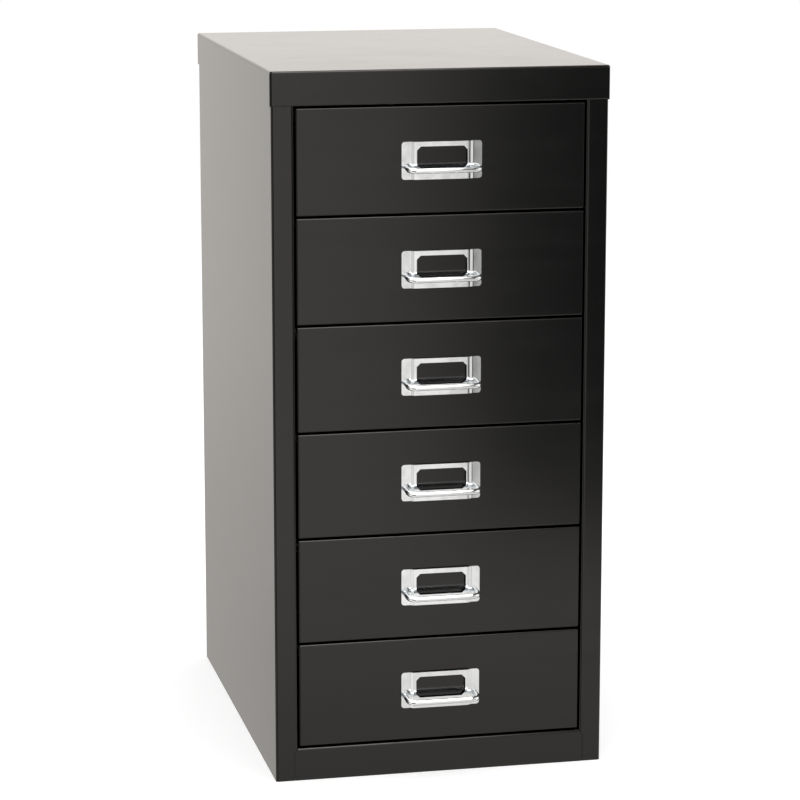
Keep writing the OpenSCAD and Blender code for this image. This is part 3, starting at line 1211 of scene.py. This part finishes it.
@dataclass(frozen=True)
class Flag:
    """Dark flag beside and over the set, from near to far by a direction's X and by elevation in degrees.

    Its near edge is soft in front of the cabinet and gets crisp through `crossing`. Its far end comes in
    through `narrows` and goes out again through `widens`. A lit gap lies across it.
    """

    near: float = 0.229
    near_overhead: float = 0.2312
    softness: float = 0.014
    softness_overhead: float = 0.004
    crossing: tuple[float, float] = (12.0, 24.0)
    far: float = 0.91
    far_overhead: float = 0.33
    far_softness: float = 0.05
    narrows: tuple[float, float] = (12.0, 18.0)
    widens: tuple[float, float] = (34.0, 40.0)
    low: float = -14.0
    low_softness: float = 0.8
    gap: tuple[float, float] = (-1.0, 9.0)
    gap_softness: float = 2.0
    level: float = 0.02

    def mask(self, tree: Tree, toward: bpy.types.NodeOutputs, rise: object) -> object:
        """Marks the directions that meet the flag.

        Args:
            tree: the world's nodes.
            toward: the direction, as its three parts.
            rise: its elevation.

        Returns:
            1 on the flag and 0 beside it.
        """
        across = toward["X"]
        edges = (
            tree.spread(
                rise, *self.crossing,
                self.near + way * self.softness, self.near_overhead + way * self.softness_overhead,
            ) for way in (-1, 1)
        )
        mask = tree.spread(across, *edges)
        soft = self.far_softness
        end = tree.spread(rise, *self.narrows, self.far - soft, self.far_overhead - soft)
        end = tree.math("ADD", end, tree.spread(rise, *self.widens, 0.0, self.far - self.far_overhead))
        for inside in (
            tree.spread(across, end, tree.math("ADD", end, 2 * soft), 1.0, 0.0),
            tree.spread(toward["Y"], -soft, soft, 1.0, 0.0),
            tree.spread(rise, self.low - self.low_softness, self.low + self.low_softness),
        ):
            mask = tree.math("MULTIPLY", mask, inside)
        gap = tree.math("MULTIPLY", *(
            tree.spread(rise, at - self.gap_softness, at + self.gap_softness, start, 1.0 - start)
            for at, start in zip(self.gap, (0.0, 1.0))
        ))
        return tree.math("MULTIPLY_ADD", mask, tree.math("MULTIPLY", gap, -1.0), mask)


@dataclass
class Studio:
    """White sweep, soft lamp and the camera."""

    camera_at: Point = (-555.2, -2569.2, 818.9)
    camera_azimuth: float = -12.348
    camera_elevation: float = 11.582
    camera_roll: float = 0.015
    lens: float = 136.83
    sensor: float = 36.0
    lamp_at: Point = (0, -300, 2300)
    lamp_to: Point = (0, 0, 300)
    lamp_size: tuple[float, float] = (1700, 1500)
    lamp_watts: float = 24.0
    floor_radius: float = 3000.0
    floor_facets: int = 96
    floor_shades: tuple[float, float] = (0.84, 0.87)
    floor_scale: float = 3.0
    floor_lift: float = 0.42
    ambient: float = 0.72
    warmth: Point = (1.04, 1.0, 0.95)
    horizon: tuple[float, float] = (-20.0, 0.0)
    low_level: float = 0.95
    high_level: float = 1.06
    wall_scale: float = 1.3
    wall_contrast: float = 1.6
    cards: Sequence[Card] = (
        Card(168, 28, 42, 30, 2.5, 1.11),
        Card(-150, -10, 20.5, 14, 1, 0.84),
        Card(-150, -28.5, 35, 16, 3, 0.72),
        Card(-150, -30.5, 20.5, 15, 1, 0.64),
        Card(0, -5, 30, 12.4, 2, 1.06),
        Card(0, -25, 30, 8, 1.5, 0.68),
        Card(-76, 32, 66, 20, 4, 0.5),
        Card(-76, -5, 66, 19, 3, 0.4),
        Card(-34, -5, 24, 19, 3, 0.16),
        Card(-64, -10, 13, 18, 2, 1),
        Card(-64, 0, 13, 13.5, 2, 0.72),
        Card(76, -7, 11, 20, 2, 0.82),
        Card(0, 90, 90, 52, 5, 5),
    )
    flag: Flag = Flag()

    def build(self) -> None:
        """Sets the room up."""
        self.set_sweep()
        self.set_floor()
        self.set_lamp()
        self.set_camera()

    def set_sweep(self) -> None:
        """Makes the world: white to the camera, a softly zoned room to reflections."""
        world = bpy.data.worlds.new("studio sweep")
        bpy.context.scene.world = world
        world.use_nodes = True
        world.cycles.sampling_method = "NONE"
        tree = Tree(world.node_tree)
        direction = tree.add("ShaderNodeTexCoord").outputs["Generated"]
        toward = tree.add("ShaderNodeSeparateXYZ", direction).outputs
        turn = tree.math("ARCTAN2", toward["X"], tree.math("MULTIPLY", toward["Y"], -1.0))
        turn = tree.math("MULTIPLY", turn, math.degrees(1))
        rise = tree.math("MULTIPLY", tree.math("ARCSINE", toward["Z"]), math.degrees(1))
        level = tree.spread(rise, *self.horizon, self.low_level, self.high_level)
        walls = tree.noise(direction, self.wall_scale, 1.0)
        walls = tree.math("MULTIPLY_ADD", walls, self.wall_contrast, 1.0 - self.wall_contrast / 2)
        level = tree.math("MULTIPLY", level, walls)
        for card in self.cards:
            level = tree.zone(level, card.mask(tree, turn, rise), card.level)
        level = tree.zone(level, self.flag.mask(tree, toward, rise), self.flag.level)
        room = tree.add("ShaderNodeVectorMath", self.warmth, operation="SCALE")
        tree.feed(room.inputs["Scale"], level)
        camera, mirrored = tree.rays()
        shade = tree.tint(mirrored, (*[self.ambient] * 3, 1.0), room.outputs[0])
        back = tree.add("ShaderNodeBackground", tree.tint(camera, shade, WHITE))
        tree.add("ShaderNodeOutputWorld", back.outputs[0])

    def set_floor(self) -> None:
        """Lays the pale floor, which keeps the cabinet's shadow."""
        work = Work()
        bmesh.ops.create_circle(
            work.bm, segments=self.floor_facets, radius=self.floor_radius, cap_ends=True
        )
        floor = work.finish("studio_floor", Vector((0, 0, 1)), 0.0, 0.0)
        made, tree = new_material("pale floor")
        camera, mirrored = tree.rays()
        cloud = tree.noise(tree.place(), self.floor_scale)
        shades = ((*[shade] * 3, 1.0) for shade in self.floor_shades)
        matt = tree.add("ShaderNodeBsdfDiffuse", tree.tint(cloud, *shades))
        lift = tree.add("ShaderNodeEmission", WHITE, tree.math("MULTIPLY", camera, self.floor_lift))
        lit = tree.add("ShaderNodeAddShader", matt.outputs[0], lift.outputs[0])
        clear = tree.add("ShaderNodeBsdfTransparent")
        mixed = tree.add("ShaderNodeMixShader", mirrored, lit.outputs[0], clear.outputs[0])
        tree.add("ShaderNodeOutputMaterial", mixed.outputs[0])
        floor.data.materials.append(made)

    def set_lamp(self) -> None:
        """Hangs the softbox over the set, unseen in reflections."""
        data = bpy.data.lights.new("overhead softbox", "AREA")
        data.shape = "RECTANGLE"
        data.size, data.size_y = (side * MM for side in self.lamp_size)
        data.energy = self.lamp_watts
        lamp = bpy.data.objects.new("overhead softbox", data)
        lamp.visible_glossy = False
        self.stand(lamp, self.lamp_at, Vector(self.lamp_to) - Vector(self.lamp_at))

    def set_camera(self) -> None:
        """Stands the camera where the photograph was taken from."""
        data = bpy.data.cameras.new("camera")
        data.sensor_width = self.sensor
        data.lens = self.lens
        camera = bpy.data.objects.new("camera", data)
        turn, rise = math.radians(-self.camera_azimuth), math.radians(self.camera_elevation)
        flat = math.cos(rise)
        ahead = Vector((math.sin(turn) * flat, math.cos(turn) * flat, -math.sin(rise)))
        self.stand(camera, self.camera_at, ahead, self.camera_roll)
        bpy.context.scene.camera = camera

    @staticmethod
    def stand(thing: bpy.types.Object, at: Point, ahead: Vector, roll: float = 0.0) -> None:
        """Places and aims the lamp or the camera.

        Args:
            thing: which one.
            at: where it stands, in millimetres.
            ahead: the way it looks.
            roll: its turn about that way, in degrees.
        """
        thing.location = Vector(at) * MM
        thing.rotation_mode = "QUATERNION"
        turned = Quaternion((0, 0, 1), math.radians(roll))
        thing.rotation_quaternion = ahead.to_track_quat("-Z", "Y") @ turned
        bpy.context.scene.collection.objects.link(thing)


def main() -> None:
    """Loads the frame, builds the cabinet and sets the studio."""
    logging.basicConfig(level=logging.INFO, format="%(message)s")
    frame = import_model()
    nodes = frame["nodes"]
    finishes = Finishes()
    TopCap().build(finishes)
    for side in Side:
        SidePanel(side).build(finishes)
    BaseRail().build(finishes)
    Carcass().build(nodes, finishes)
    for number in DRAWERS:
        Drawer(number).build(nodes, finishes)
    Studio().build()
    bpy.context.scene.view_settings.view_transform = "Standard"


if __name__ == "__main__":
    main()
